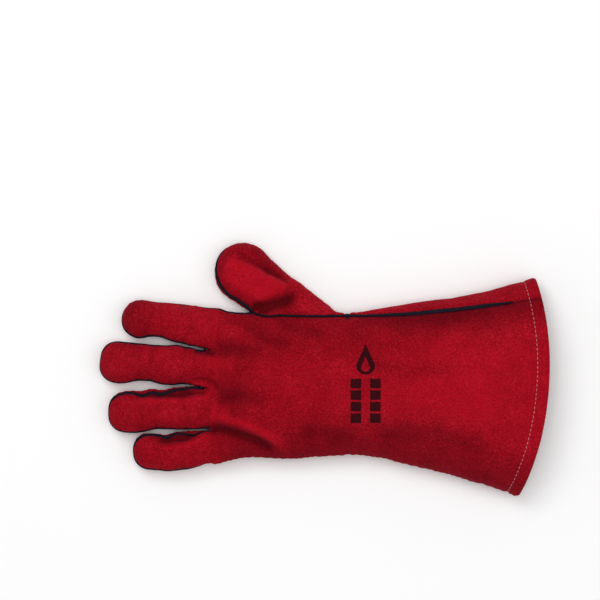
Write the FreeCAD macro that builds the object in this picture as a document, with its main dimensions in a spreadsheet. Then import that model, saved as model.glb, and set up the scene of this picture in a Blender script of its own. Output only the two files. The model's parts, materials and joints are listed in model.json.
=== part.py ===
import math
import os

import FreeCAD
import Part
from Sketcher import Constraint

# A left-hand leather gauntlet, empty and lying palm down. Millimetres.
# +Z is up, the fingers point to -X, the cuff opens to +X and the thumb lies on the +Y side.
# The origin is under the middle of the glove, on the surface that it lies on.
# Every leather panel is a shell. A panel that bends in use is divided along its bend lines.

# ---------------------------------------------------------------- driving dimensions

SIZES = {
    # material
    "leather": 1.5,
    "lining": 2.0,
    "lining_gap": 0.3,
    "welt_thickness": 1.6,
    "welt_proud": 0.8,
    # how far the empty glove's own weight flattens the underside of the hand and the cuff
    "pressed_flat": 0.1,
    # hand: half widths, half heights and side positions at the knuckles, the thumb's crotch and the wrist
    "knuckle_x": -96.0,
    "knuckle_y": -13.0,
    "knuckle_half_width": 60.5,
    "knuckle_half_height": 14.0,
    "crotch_x": -55.0,
    "crotch_y": -12.7,
    "crotch_half_width": 56.5,
    "crotch_half_height": 17.0,
    "wrist_x": 18.4,
    "wrist_y": -11.8,
    "wrist_half_width": 56.0,
    "wrist_half_height": 17.0,
    # cuff: the same at its narrow middle and past its mouth, which an arc about the hand trims
    "forearm_x": 75.0,
    "forearm_y": -12.0,
    "forearm_half_width": 63.5,
    "forearm_half_height": 19.0,
    "mouth_x": 180.0,
    "mouth_y": -17.0,
    "mouth_half_width": 90.1,
    "mouth_half_height": 24.0,
    "mouth_arc_x": -71.2,
    "mouth_arc_y": 3.2,
    "mouth_arc_radius": 246.4,
    # seams: height of the side seams, and the seam that runs up the back near the thumb
    "side_seam_z": 17.0,
    "thumb_seam_y": 42.0,
    "thumb_seam_start_x": -57.0,
    "cuff_seam_angle": 4.9,
    "finger_base_seam_x": -83.0,
    "finger_base_seam_width": 63.0,
    "finger_base_seam_y": -17.5,
    "finger_base_welt_play": 0.05,
    "finger_base_welt_lift": 0.2,
    "wrist_welt_end_drop": 3.4,
    # the part of the thumb that belongs to the hand, lifted just clear of the palm's underside
    "thumb_stub_length": 54.0,
    "thumb_stub_lift": 0.6,
    # hem
    "hem_depth": 9.4,
    "hem_gap": 0.2,
    "thread": 0.5,
    # bends: height of the hinge lines, half of each notch's mouth below and above them
    "digit_axis_z": 9.0,
    "digit_notch_below": 6.0,
    "digit_notch_above": 2.2,
    "wrist_axis_z": 17.0,
    "wrist_notch_below": 7.0,
    "wrist_notch_above": 5.6,
    "notch_slit": 0.4,
    # how far the soft pieces of a digit reach back over its base bend, towards the hand
    "soft_overreach": 8.5,
    "thumb_soft_overreach": 5.0,
    "thumb_clearance": 0.8,
    # the thumb's welt starts past the side of the flat hand
    "thumb_welt_start": 3.2,
}

# Each digit, measured from its base bend: place and bearing of the base bend, length to the tip,
# distance to the second bend, then half width and half height at the root and at the tip.
DIGIT_SIZES = {
    "index": (-107.0, 33.4, 8.0, 51.0, 23.5, 15.2, 13.0, 13.6, 12.0),
    "middle": (-107.0, -0.2, 5.5, 67.8, 32.0, 15.2, 13.0, 14.2, 12.0),
    "ring": (-107.0, -32.5, 0.8, 61.5, 29.5, 14.9, 13.0, 15.2, 12.0),
    "little": (-107.0, -63.8, 0.0, 41.6, 19.5, 13.6, 12.5, 13.6, 11.5),
    "thumb": (-43.0, 59.2, 39.5, 48.3, 20.0, 20.5, 13.0, 21.5, 12.5),
}
DIGIT_FIELDS = (
    "x", "y", "bearing", "length", "bend", "root_width", "root_height", "tip_width", "tip_height",
)

BIG = 400.0            # a box side that reaches past the whole glove
NOTCH_REACH = 60.0     # how far a notch's wedge runs from its hinge line, past the thickest section
WINDOW_START = 20.0    # how far the window over the cuff's back begins before the wrist
MIDDLE_GAP = 30.0      # how far the side seam's block stops short of the glove's far side

doc = FreeCAD.newDocument("gauntlet_glove")
sheet = doc.addObject("Spreadsheet::Sheet", "sizes")


def fill_sheet():
    """Write every driving dimension into its own cell."""
    values = dict(SIZES)
    for digit, sizes in DIGIT_SIZES.items():
        for field, value in zip(DIGIT_FIELDS, sizes):
            values[f"{digit}_{field}"] = value
    for row, (alias, value) in enumerate(values.items(), start=1):
        sheet.set(f"A{row}", alias)
        sheet.set(f"B{row}", str(value))
        sheet.setAlias(f"B{row}", alias)
    doc.recompute()


def bind(item, **formulas):
    """Bind properties to the sheet; a double underscore in a name stands for a dot."""
    for name, formula in formulas.items():
        item.setExpression(name.replace("__", "."), formula)


# ---------------------------------------------------------------- building blocks

# Turns a flat section so that its width lies along Y, its height along Z and its normal along X.
ACROSS = FreeCAD.Rotation(FreeCAD.Vector(1, 1, 1), 120)
# A turn about the vertical; wherever it is used, its angle is bound to the sheet.
UPRIGHT = FreeCAD.Rotation(FreeCAD.Vector(0, 0, 1), 90)


def boolean(kind, name, base, tool):
    """A cut, fuse or common of two document objects."""
    item = doc.addObject(f"Part::{kind}", name)
    item.Base = base
    item.Tool = tool
    return item


def loft(name, sections):
    item = doc.addObject("Part::Loft", name)
    item.Sections = sections
    item.Solid = True
    item.Ruled = True
    return item


def slab(name, x, y, z, length=BIG, width=BIG, height=BIG):
    """A box by its low corner; every argument is a number or a formula."""
    item = doc.addObject("Part::Box", name)
    bind(
        item,
        Length=str(length),
        Width=str(width),
        Height=str(height),
        Placement__Base__x=str(x),
        Placement__Base__y=str(y),
        Placement__Base__z=str(z),
    )
    return item


def notch(name, x, axis_z, below, above):
    """A V below the hinge line and a narrower one above it, both along Y, joined at the line."""
    parts = []
    for part, direction, mouth in (("lower", -1, below), ("upper", 1, above)):
        wedge = doc.addObject("Part::Wedge", f"{name}_{part}")
        wedge.Ymin, wedge.Ymax = 0.0, NOTCH_REACH
        wedge.Zmin, wedge.Zmax = -BIG / 2, BIG / 2
        wedge.Z2min, wedge.Z2max = -BIG / 2, BIG / 2
        # The wedge grows along its own Y, which is turned to point down or up.
        wedge.Placement.Rotation = FreeCAD.Rotation(FreeCAD.Vector(1, 0, 0), 90 * direction)
        slope = f"(({mouth}) - sizes.notch_slit) / ({axis_z})"
        bind(
            wedge,
            Xmin="-sizes.notch_slit",
            Xmax="sizes.notch_slit",
            X2min=f"-sizes.notch_slit - {slope} * {NOTCH_REACH}",
            X2max=f"sizes.notch_slit + {slope} * {NOTCH_REACH}",
            Placement__Base__x=str(x),
            Placement__Base__z=str(axis_z),
        )
        parts.append(wedge)
    return boolean("Fuse", name, *parts)


def ring_wall(name, outer, inner):
    return boolean("Cut", name, outer, inner)


def above_floor(name, item):
    """The part of a hand or cuff layer over the surface that the glove lies on, with a flat underside."""
    return boolean("Common", name, item, slab(f"{name}_space", -BIG / 2, -BIG / 2, 0))


# ---------------------------------------------------------------- flat tubes: the hand and the cuff


def stadium(name, station, inset):
    """A flat section with half-round sides at a station: knuckle, crotch, wrist, forearm or mouth."""
    sketch = doc.addObject("Sketcher::SketchObject", name)
    radius = SIZES[f"{station}_half_height"]
    reach = SIZES[f"{station}_half_width"] - radius
    up = FreeCAD.Vector(0, 0, 1)
    quarter, half = math.pi / 2, math.pi
    far_circle = Part.Circle(FreeCAD.Vector(reach, 0, 0), up, radius)
    near_circle = Part.Circle(FreeCAD.Vector(-reach, 0, 0), up, radius)
    far = sketch.addGeometry(Part.ArcOfCircle(far_circle, -quarter, quarter))
    near = sketch.addGeometry(Part.ArcOfCircle(near_circle, quarter, quarter + half))
    top_ends = FreeCAD.Vector(reach, radius, 0), FreeCAD.Vector(-reach, radius, 0)
    bottom_ends = FreeCAD.Vector(-reach, -radius, 0), FreeCAD.Vector(reach, -radius, 0)
    top = sketch.addGeometry(Part.LineSegment(*top_ends))
    bottom = sketch.addGeometry(Part.LineSegment(*bottom_ends))
    start, end, centre, origin = 1, 2, 3, -1
    sketch.addConstraint(Constraint("Tangent", far, end, top, start))
    sketch.addConstraint(Constraint("Tangent", top, end, near, start))
    sketch.addConstraint(Constraint("Tangent", near, end, bottom, start))
    sketch.addConstraint(Constraint("Tangent", bottom, end, far, start))
    sketch.addConstraint(Constraint("Horizontal", top))
    sketch.addConstraint(Constraint("Equal", far, near))
    sketch.addConstraint(Constraint("Symmetric", far, centre, near, centre, origin, start))
    size = sketch.addConstraint(Constraint("Radius", far, radius))
    spread = sketch.addConstraint(Constraint("DistanceX", near, centre, far, centre, 2 * reach))
    sketch.Placement = FreeCAD.Placement(FreeCAD.Vector(), ACROSS)
    half_height = f"sizes.{station}_half_height"
    bind(sketch, Placement__Base__x=f"sizes.{station}_x")
    bind(sketch, Placement__Base__y=f"sizes.{station}_y")
    bind(sketch, Placement__Base__z=f"{half_height} - sizes.pressed_flat")
    sketch.setExpression(f"Constraints[{size}]", f"{half_height} - ({inset})")
    sketch.setExpression(f"Constraints[{spread}]", f"2 * (sizes.{station}_half_width - {half_height})")
    return sketch


def hand_solid(name, inset):
    sections = [stadium(f"{name}_{at}", at, inset) for at in ("knuckle", "crotch", "wrist")]
    return loft(name, sections)


def cuff_solid(name, inset):
    sections = [stadium(f"{name}_{at}", at, inset) for at in ("wrist", "forearm", "mouth")]
    return loft(name, sections)


# ---------------------------------------------------------------- digits, each in its own frame


def ellipse(name, x, half_width, half_height, inset, z):
    item = doc.addObject("Part::Ellipse", name)
    item.Placement = FreeCAD.Placement(FreeCAD.Vector(), ACROSS)
    bind(
        item,
        MajorRadius=f"{half_width} - ({inset})",
        MinorRadius=f"{half_height} - ({inset})",
        Placement__Base__x=x,
        Placement__Base__z=z,
    )
    return item


def digit_solid(digit, name, inset, start):
    """A tapering oval finger from its start to a rounded tip. X runs from the base bend to the tip."""
    size = f"sizes.{digit}_"
    tip_centre = f"{size}length - {size}tip_width"
    root_end = f"{size}root_height"
    tip_end = f"{size}tip_height"
    sections = [
        ellipse(f"{name}_root", start, f"{size}root_width", root_end, inset, root_end),
        ellipse(f"{name}_end", tip_centre, f"{size}tip_width", tip_end, inset, tip_end),
    ]
    tube = loft(f"{name}_tube", sections)
    cap = doc.addObject("Part::Ellipsoid", f"{name}_cap")
    cap.Angle1 = 0
    cap.Placement.Rotation = ACROSS
    bind(
        cap,
        Radius1=f"{size}tip_width - ({inset})",
        Radius2=f"{size}tip_width - ({inset})",
        Radius3=f"{tip_end} - ({inset})",
        Placement__Base__x=tip_centre,
        Placement__Base__z=tip_end,
    )
    return boolean("Fuse", name, tube, cap)


def place_digit(item, digit):
    """Move a piece from the digit's frame to the glove's: the digit points to -X, turned by its bearing."""
    item.Placement.Rotation = UPRIGHT
    bind(
        item,
        Placement__Base__x=f"sizes.{digit}_x",
        Placement__Base__y=f"sizes.{digit}_y",
        Placement__Rotation__Angle=f"(180 - sizes.{digit}_bearing) * 1 deg",
    )


def clear_of_hand(name, item):
    """The thumb's lining without the corner that would run into the side of the flat hand."""
    side = "sizes.crotch_y + sizes.crotch_half_width + sizes.thumb_clearance"
    return boolean("Cut", name, item, slab(f"{name}_hand", -BIG / 2, f"{side} - {BIG}", -BIG / 2))


def build_digit(digit):
    """Four leather shells, a lining and a welt. The welt runs round the seam at half height."""
    seam = f"sizes.{digit}_tip_height"
    bend = f"sizes.{digit}_bend"
    half_welt = "sizes.welt_thickness / 2"
    lining_inset = "sizes.leather + sizes.lining_gap"
    # The leather starts past the base bend's notch; the lining and the welt reach back to the hand.
    overreach = "thumb_soft_overreach" if digit == "thumb" else "soft_overreach"
    soft_start = f"-sizes.{overreach}"
    welt_start = "sizes.thumb_welt_start" if digit == "thumb" else "0"
    outer = digit_solid(digit, f"{digit}_outer", "0", "0")
    inner = digit_solid(digit, f"{digit}_inner", "sizes.leather", "0")
    wall = ring_wall(f"{digit}_wall", outer, inner)
    shape = ("sizes.digit_axis_z", "sizes.digit_notch_below", "sizes.digit_notch_above")
    base_notch = notch(f"{digit}_base_notch", 0, *shape)
    bend_notch = notch(f"{digit}_bend_notch", bend, *shape)
    notches = boolean("Fuse", f"{digit}_notches", base_notch, bend_notch)
    leather = boolean("Cut", f"{digit}_leather", wall, notches)

    spans = {"base": ("0", bend), "tip": (bend, f"{bend} + {BIG}")}
    sides = {"back": f"{seam} + {half_welt}", "front": f"{seam} - {half_welt} - {BIG}"}
    pieces = {}
    for span, (low, high) in spans.items():
        for side, floor in sides.items():
            name = f"{digit}_{span}_{side}"
            block = slab(f"{name}_block", low, -BIG / 2, floor, length=f"({high}) - ({low})")
            pieces[name] = boolean("Common", name, leather, block)

    lining_outer = digit_solid(digit, f"{digit}_lining_outer", lining_inset, soft_start)
    lining_inner = digit_solid(digit, f"{digit}_lining_inner", f"{lining_inset} + sizes.lining", soft_start)
    pieces[f"{digit}_lining"] = boolean("Cut", f"{digit}_lining", lining_outer, lining_inner)

    welt_outer = digit_solid(digit, f"{digit}_welt_outer", "-sizes.welt_proud", soft_start)
    welt_inner = digit_solid(digit, f"{digit}_welt_inner", "sizes.leather", soft_start)
    welt_wall = ring_wall(f"{digit}_welt_wall", welt_outer, welt_inner)
    welt_block = slab(
        f"{digit}_welt_block", welt_start, -BIG / 2, f"{seam} - {half_welt}", height="sizes.welt_thickness"
    )
    pieces[f"{digit}_welt"] = boolean("Common", f"{digit}_welt", welt_wall, welt_block)
    for piece in pieces.values():
        place_digit(piece, digit)
    if digit == "thumb":
        pieces["thumb_lining"] = clear_of_hand("thumb_lining_clear", pieces["thumb_lining"])
    return pieces


# ---------------------------------------------------------------- the hand


def thumb_stub(name, inset):
    """The thumb's root, from inside the hand to just short of the thumb's base bend."""
    size = "sizes.thumb_"
    height = f"{size}root_height"
    ends = {"deep": "-sizes.thumb_stub_length", "rim": "-sizes.digit_notch_below"}
    sections = [
        ellipse(f"{name}_{end}", x, f"{size}root_width", height, inset, f"{height} + sizes.thumb_stub_lift")
        for end, x in ends.items()
    ]
    stub = loft(name, sections)
    place_digit(stub, "thumb")
    return stub


def hand_layer(name, inset):
    """The hand and the thumb's root as one solid, inset from the outside of the leather."""
    flat = hand_solid(f"{name}_flat", inset)
    stub = thumb_stub(f"{name}_stub", inset)
    return boolean("Fuse", name, flat, stub)


def build_hand():
    lining_inset = "sizes.leather + sizes.lining_gap"
    half_welt = "sizes.welt_thickness / 2"
    above_seam = f"sizes.side_seam_z + {half_welt}"
    below_seam = f"sizes.side_seam_z - {half_welt} - {BIG}"
    outer = hand_layer("hand_outer", "0")
    inner = hand_layer("hand_inner", "sizes.leather")
    wall = ring_wall("hand_wall", outer, inner)
    wrist_notch = notch(
        "wrist_notch", "sizes.wrist_x", "sizes.wrist_axis_z", "sizes.wrist_notch_below",
        "sizes.wrist_notch_above",
    )
    leather = above_floor("hand_leather", boolean("Cut", "hand_wall_notched", wall, wrist_notch))

    upper = boolean("Common", "hand_upper", leather, slab("hand_above", -BIG / 2, -BIG / 2, above_seam))
    beside_seam = slab(
        "hand_beside_seam", "sizes.thumb_seam_start_x", f"sizes.thumb_seam_y - {half_welt}", 0
    )
    gusset_block = slab(
        "thumb_gusset_block", f"sizes.thumb_seam_start_x + {half_welt}",
        f"sizes.thumb_seam_y + {half_welt}", 0,
    )
    lower = boolean("Common", "hand_lower", leather, slab("hand_below", -BIG / 2, -BIG / 2, below_seam))
    base_seam_low_x = "sizes.finger_base_seam_x - sizes.welt_thickness / 2"
    base_seam_low_y = "sizes.finger_base_seam_y - sizes.finger_base_seam_width / 2"
    base_seam_slot = slab(
        "finger_base_slot", base_seam_low_x, base_seam_low_y, "-sizes.leather",
        length="sizes.welt_thickness", width="sizes.finger_base_seam_width", height="3 * sizes.leather",
    )
    play = "sizes.finger_base_welt_play"
    base_welt = slab(
        "finger_base_welt", f"{base_seam_low_x} + {play}", f"{base_seam_low_y} + {play}",
        "sizes.finger_base_welt_lift", length=f"sizes.welt_thickness - 2 * {play}",
        width=f"sizes.finger_base_seam_width - 2 * {play}", height="sizes.leather",
    )

    lining_outer = hand_layer("hand_lining_outer", lining_inset)
    lining_inner = hand_layer("hand_lining_inner", f"{lining_inset} + sizes.lining")
    lining = ring_wall("hand_lining_wall", lining_outer, lining_inner)

    welt_outer = hand_layer("hand_welt_outer", "-sizes.welt_proud")
    welt_ring = ring_wall("hand_welt_ring", welt_outer, inner)
    welt_wall = boolean("Cut", "hand_welt_wall", welt_ring, wrist_notch)
    side_block = slab(
        "hand_side_welt_block", -BIG / 2, -BIG, f"sizes.side_seam_z - {half_welt}",
        width=BIG - MIDDLE_GAP, height="sizes.welt_thickness",
    )
    thumb_seam_block = slab(
        "thumb_seam_block", f"sizes.thumb_seam_start_x + {half_welt}",
        f"sizes.thumb_seam_y - {half_welt}", above_seam, width="sizes.welt_thickness",
    )
    wrist_ring = cuff_solid("wrist_welt_outer", "0")
    wrist_hole = cuff_solid("wrist_welt_inner", "sizes.welt_thickness")
    wrist_block = slab(
        "wrist_welt_block", "sizes.wrist_x", -BIG / 2, 0,
        length="sizes.welt_thickness", height="sizes.side_seam_z - sizes.wrist_welt_end_drop",
    )
    wrist_wall = ring_wall("wrist_welt_wall", wrist_ring, wrist_hole)
    return {
        "hand_back": boolean("Cut", "hand_back", upper, beside_seam),
        "thumb_gusset": boolean("Common", "thumb_gusset", upper, gusset_block),
        "palm": boolean("Cut", "palm", lower, base_seam_slot),
        "finger_base_welt": base_welt,
        "hand_lining": boolean("Cut", "hand_lining", lining, wrist_notch),
        "hand_side_welt": boolean("Common", "hand_side_welt", welt_wall, side_block),
        "thumb_seam_welt": boolean("Common", "thumb_seam_welt", welt_wall, thumb_seam_block),
        "wrist_welt": boolean("Common", "wrist_welt", wrist_wall, wrist_block),
    }


# ---------------------------------------------------------------- the cuff


def mouth_disc(name, inset):
    """A disc about the hand that trims a cuff layer to the arc of the mouth."""
    disc = doc.addObject("Part::Cylinder", name)
    bind(
        disc,
        Radius=f"sizes.mouth_arc_radius - ({inset})",
        Height=str(BIG),
        Placement__Base__x="sizes.mouth_arc_x",
        Placement__Base__y="sizes.mouth_arc_y",
        Placement__Base__z=str(-BIG / 2),
    )
    return disc


def back_window(name, growth):
    """The space over the cuff's back: above the side seam and up to the slanting thumb-side seam."""
    block = doc.addObject("Part::Box", name)
    block.Placement.Rotation = UPRIGHT
    bind(
        block,
        Length=str(BIG),
        Width=str(BIG),
        Height=str(BIG),
        Placement__Base__x=f"sizes.wrist_x - {WINDOW_START} + {BIG} * sin(sizes.cuff_seam_angle * 1 deg)",
        Placement__Base__y=f"sizes.thumb_seam_y - {BIG} + ({growth})",
        Placement__Base__z=f"sizes.side_seam_z - ({growth})",
        Placement__Rotation__Angle="sizes.cuff_seam_angle * 1 deg",
    )
    return block


def build_cuff():
    lining_inset = "sizes.leather + sizes.lining_gap"
    half_welt = "sizes.welt_thickness / 2"
    notch_cut = notch(
        "cuff_notch", "sizes.wrist_x", "sizes.wrist_axis_z", "sizes.wrist_notch_below",
        "sizes.wrist_notch_above",
    )
    outer = cuff_solid("cuff_outer", "0")
    inner = cuff_solid("cuff_inner", "sizes.leather")
    wall = boolean("Cut", "cuff_wall", ring_wall("cuff_ring", outer, inner), notch_cut)
    trimmed = boolean("Common", "cuff_trimmed", wall, mouth_disc("cuff_mouth", "0"))
    leather = above_floor("cuff_leather", trimmed)

    welt_outer = cuff_solid("cuff_welt_outer", "-sizes.welt_proud")
    welt_ring = ring_wall("cuff_welt_ring", welt_outer, inner)
    welt_wall = boolean("Cut", "cuff_welt_wall", welt_ring, notch_cut)
    # The welts end just before the hem's thread.
    welt_mouth = mouth_disc("welt_mouth", "sizes.hem_depth + sizes.thread")
    welt_trim = boolean("Common", "cuff_welt_trim", welt_wall, welt_mouth)
    welt_frame = boolean("Common", "cuff_welt_frame", welt_trim, back_window("welt_window", half_welt))
    welts = boolean("Cut", "cuff_welts", welt_frame, back_window("welt_core", f"-{half_welt}"))
    thumb_side = slab("cuff_thumb_side", 0, 0, 0)
    little_side = slab("cuff_little_side", 0, -BIG, 0)

    lining_outer = cuff_solid("cuff_lining_outer", lining_inset)
    lining_inner = cuff_solid("cuff_lining_inner", f"{lining_inset} + sizes.lining / 2")
    lining_ring = ring_wall("cuff_lining_ring", lining_outer, lining_inner)
    lining_wall = boolean("Cut", "cuff_lining_wall", lining_ring, notch_cut)
    lining_trim = mouth_disc("lining_mouth", "sizes.hem_depth + sizes.hem_gap")

    fold_outer = cuff_solid("hem_fold_outer", "sizes.leather + sizes.hem_gap / 2")
    fold_inner = cuff_solid("hem_fold_inner", "2 * sizes.leather + sizes.hem_gap")
    fold_ring = ring_wall("hem_fold_ring", fold_outer, fold_inner)
    fold_band = boolean("Common", "hem_fold_band", fold_ring, mouth_disc("fold_mouth", "sizes.hem_gap"))

    thread_outer = cuff_solid("hem_thread_outer", "-sizes.thread")
    thread_ring = ring_wall("hem_thread_ring", thread_outer, cuff_solid("hem_thread_inner", "0"))
    thread_mouth = mouth_disc("thread_mouth", "sizes.hem_depth - sizes.thread / 2")
    thread_band = boolean("Common", "hem_thread_band", thread_ring, thread_mouth)
    thread_space = slab("hem_thread_space", 0, -BIG / 2, "sizes.leather")
    thread_core = mouth_disc("thread_core", "sizes.hem_depth + sizes.thread / 2")
    thread_line = boolean("Cut", "hem_thread_line", thread_band, thread_core)
    return {
        "cuff_back": boolean("Common", "cuff_back", leather, back_window("back_window", f"-{half_welt}")),
        "cuff_front": boolean("Cut", "cuff_front", leather, back_window("front_window", half_welt)),
        "cuff_thumb_welt": boolean("Common", "cuff_thumb_welt", welts, thumb_side),
        "cuff_side_welt": boolean("Common", "cuff_side_welt", welts, little_side),
        "cuff_lining": boolean("Common", "cuff_lining", lining_wall, lining_trim),
        "hem_fold": boolean("Cut", "hem_fold", fold_band, mouth_disc("fold_core", "sizes.hem_depth")),
        "hem_thread": boolean("Common", "hem_thread", thread_line, thread_space),
    }


# ---------------------------------------------------------------- build, test and write


def test_document(parts):
    """Stop on any failed object and on any part without a valid shape."""
    failed = [item.Name for item in doc.Objects if {"Invalid", "Error"} & set(item.State)]
    if failed:
        raise RuntimeError(f"objects failed: {failed}")
    for label, part in parts.items():
        if part.Shape.isNull() or not part.Shape.isValid():
            raise RuntimeError(f"{label} has no valid shape")
        if not part.Shape.Solids:
            raise RuntimeError(f"{label} holds no solid")


def write_parts(parts):
    os.makedirs("parts", exist_ok=True)
    for label, part in parts.items():
        part.Shape.exportStep(f"parts/{label}.step")
        box = part.Shape.BoundBox
        print(
            f"{label:20s} solids {len(part.Shape.Solids)}  volume {part.Shape.Volume / 1000:7.2f} cm3  "
            f"x {box.XMin:7.1f} {box.XMax:7.1f}  y {box.YMin:7.1f} {box.YMax:7.1f}  "
            f"z {box.ZMin:5.1f} {box.ZMax:5.1f}"
        )


fill_sheet()
glove = {}
glove.update(build_hand())
glove.update(build_cuff())
for digit_name in DIGIT_SIZES:
    glove.update(build_digit(digit_name))
for label, part in glove.items():
    part.Label = label
doc.recompute()
test_document(glove)
write_parts(glove)
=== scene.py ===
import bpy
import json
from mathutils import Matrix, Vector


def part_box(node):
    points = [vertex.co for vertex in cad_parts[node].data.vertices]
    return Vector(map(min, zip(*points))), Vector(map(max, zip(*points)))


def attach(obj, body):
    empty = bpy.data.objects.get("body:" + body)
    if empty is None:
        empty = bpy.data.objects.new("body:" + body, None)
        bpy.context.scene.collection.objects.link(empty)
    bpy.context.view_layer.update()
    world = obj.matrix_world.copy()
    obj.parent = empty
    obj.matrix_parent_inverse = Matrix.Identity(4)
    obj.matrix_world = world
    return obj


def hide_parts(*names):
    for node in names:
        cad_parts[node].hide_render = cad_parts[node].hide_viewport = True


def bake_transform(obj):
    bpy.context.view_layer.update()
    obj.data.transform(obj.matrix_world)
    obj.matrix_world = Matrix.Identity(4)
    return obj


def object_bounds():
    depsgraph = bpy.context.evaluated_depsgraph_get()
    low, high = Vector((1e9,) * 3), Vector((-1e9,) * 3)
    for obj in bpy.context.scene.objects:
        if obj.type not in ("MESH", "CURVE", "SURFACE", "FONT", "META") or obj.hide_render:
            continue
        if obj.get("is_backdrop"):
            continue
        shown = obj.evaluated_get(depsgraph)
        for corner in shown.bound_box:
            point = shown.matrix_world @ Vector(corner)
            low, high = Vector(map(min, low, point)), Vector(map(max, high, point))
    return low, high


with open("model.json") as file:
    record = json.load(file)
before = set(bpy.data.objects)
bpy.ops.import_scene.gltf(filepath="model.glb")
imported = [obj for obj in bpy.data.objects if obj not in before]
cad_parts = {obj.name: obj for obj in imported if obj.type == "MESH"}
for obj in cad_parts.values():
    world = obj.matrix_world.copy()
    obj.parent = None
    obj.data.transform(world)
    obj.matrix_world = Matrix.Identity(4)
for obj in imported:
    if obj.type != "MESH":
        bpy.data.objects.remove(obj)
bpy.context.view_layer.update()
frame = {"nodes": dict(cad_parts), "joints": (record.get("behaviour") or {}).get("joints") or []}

import json
import math
from functools import partialmethod

import bpy
import numpy as np
from mathutils import Vector, noise

# Shapes are worked out in millimetres in the row frame, and go to Blender in metres.
MM = 0.001
STEP = 1.4                 # size of the sculpting grid
LEATHER = 1.5              # thickness of the split leather
# Depths under the skin: the lining's outer side, and the inner sides of fleece, twill and turned hem.
LINING_OUT, LINING_IN, TWILL_IN, HEM_IN = 1.8, 3.2, 2.8, 3.1
SEAM_Z_HAND, SEAM_Z_FINGER, SEAM_Z_THUMB = 17.0, 12.5, 12.5
LOW_SIDE_DROP = 3.0        # how much lower the seam lies along the little-finger side
THUMB_SEAM_TILT = 5.0      # how much lower or higher the thumb's seam lies on its two sides
FLOOR_GAP = 0.02           # the least height of the leather over the floor
HEM_DEPTH = 9.4            # from the mouth's edge to the row of hem stitches
# From one hem stitch to the next, the gap between two, the steps they are drawn in, and the thread's radius.
STITCH_PITCH, STITCH_GAP, STITCH_STEP, STITCH_RADIUS = 3.5, 1.0, 0.35, 0.25
WELT_END_X = 147.0         # past here the thumb-side seam up the cuff is plain

JOINTS = {joint["name"]: joint for joint in frame["joints"]}
NODES = frame["nodes"]
FINGERS = ("index", "middle", "ring", "little")
DIGITS = FINGERS + ("thumb",)


# ---------------- places read from the frame


def node_points(name):
    """A CAD node's vertices, in millimetres."""
    return np.array([vertex.co for vertex in NODES[name].data.vertices]) / MM


def hinge(name):
    return np.array(JOINTS[name]["pos_m"]) / MM


def in_metres(plan):
    """A place in plan, in metres, level with the floor."""
    return (plan[0] * MM, plan[1] * MM, 0.0)


def unit(vectors):
    """The vectors at length 1."""
    return vectors / np.maximum(np.linalg.norm(vectors, axis=1), 1e-12)[:, None]


def bell(distance, width):
    """1 at no distance, falling smoothly to almost nothing at twice the width."""
    return np.exp(-((distance / width) ** 2))


WRIST = hinge("wrist_bend")
MOUTH = node_points("hem_fold")
MOUTH_X = MOUTH[:, 0].max()
KNUCKLE_X = node_points("hand_back")[:, 0].min()


def mouth_arc():
    """Centre and radius of the cuff's mouth in plan, from three points of the CAD hem."""
    hem_reach, end_margin, window = 30, 12, 3
    rim = MOUTH[MOUTH[:, 0] > MOUTH_X - hem_reach]
    low, high = rim[:, 1].min(), rim[:, 1].max()
    ends = []
    for y in (low + end_margin, (low + high) / 2, high - end_margin):
        near = rim[np.abs(rim[:, 1] - y) < window]
        ends.append(near[near[:, 0].argmax(), :2])
    (ax, ay), (bx, by), (cx, cy) = ends
    left = np.array([[bx - ax, by - ay], [cx - ax, cy - ay]]) * 2
    right = np.array([bx**2 + by**2 - ax**2 - ay**2, cx**2 + cy**2 - ax**2 - ay**2])
    centre = np.linalg.solve(left, right)
    return centre, float(np.hypot(*(ends[0] - centre)))


ARC_CENTRE, ARC_RADIUS = mouth_arc()


class Digit:
    """A finger in plan: a bent, tapering strip from its base bend to a round tip.

    u runs along the digit from the base bend, v across it. The sideways shift and the half width are given
    at stations of u and joined by smooth curves. A power of 2 gives a round tip and a higher one a squarer
    tip. lift raises the welted seam on the v > 0 and v < 0 sides."""

    def __init__(self, name, stations, power, lift=(0.0, 0.0)):
        base = hinge(f"{name}_base_bend")
        axis = JOINTS[f"{name}_base_bend"]["axis"]
        self.base = base[:2]
        self.bend = float(np.hypot(*(hinge(f"{name}_tip_bend") - base)[:2]))
        self.along = np.array([axis[1], -axis[0]])
        self.across = np.array([-self.along[1], self.along[0]])
        if self.across[1] < 0:
            self.across = -self.across
        tip = node_points(f"{name}_tip_back")[:, :2] - self.base
        self.stations = np.array(stations)
        self.tip_u = float((tip @ self.along).max()) - stations[-1][2]
        self.root_u = stations[0][0]
        self.power = power
        self.lift = lift

    def local(self, x, y):
        dx, dy = x - self.base[0], y - self.base[1]
        return dx * self.along[0] + dy * self.along[1], dx * self.across[0] + dy * self.across[1]

    def inset(self, x, y):
        """How far a point is inside the digit's outline, in plan."""
        u, v = self.local(x, y)
        inner_u = np.minimum(u, self.tip_u)
        shift = curve(inner_u, self.stations[:, 0], self.stations[:, 1])
        width = curve(inner_u, self.stations[:, 0], self.stations[:, 2])
        beside = width - np.abs(v - shift)
        past = (u - inner_u) ** self.power + np.abs(v - shift) ** self.power
        beyond = width - past ** (1 / self.power)
        return smooth_min(np.where(u > self.tip_u, beyond, beside), u - self.root_u, 6.0)

    def place(self, u):
        """A point of the digit's middle line in metres, level with the floor."""
        return in_metres(self.base + self.along * u)


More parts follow.
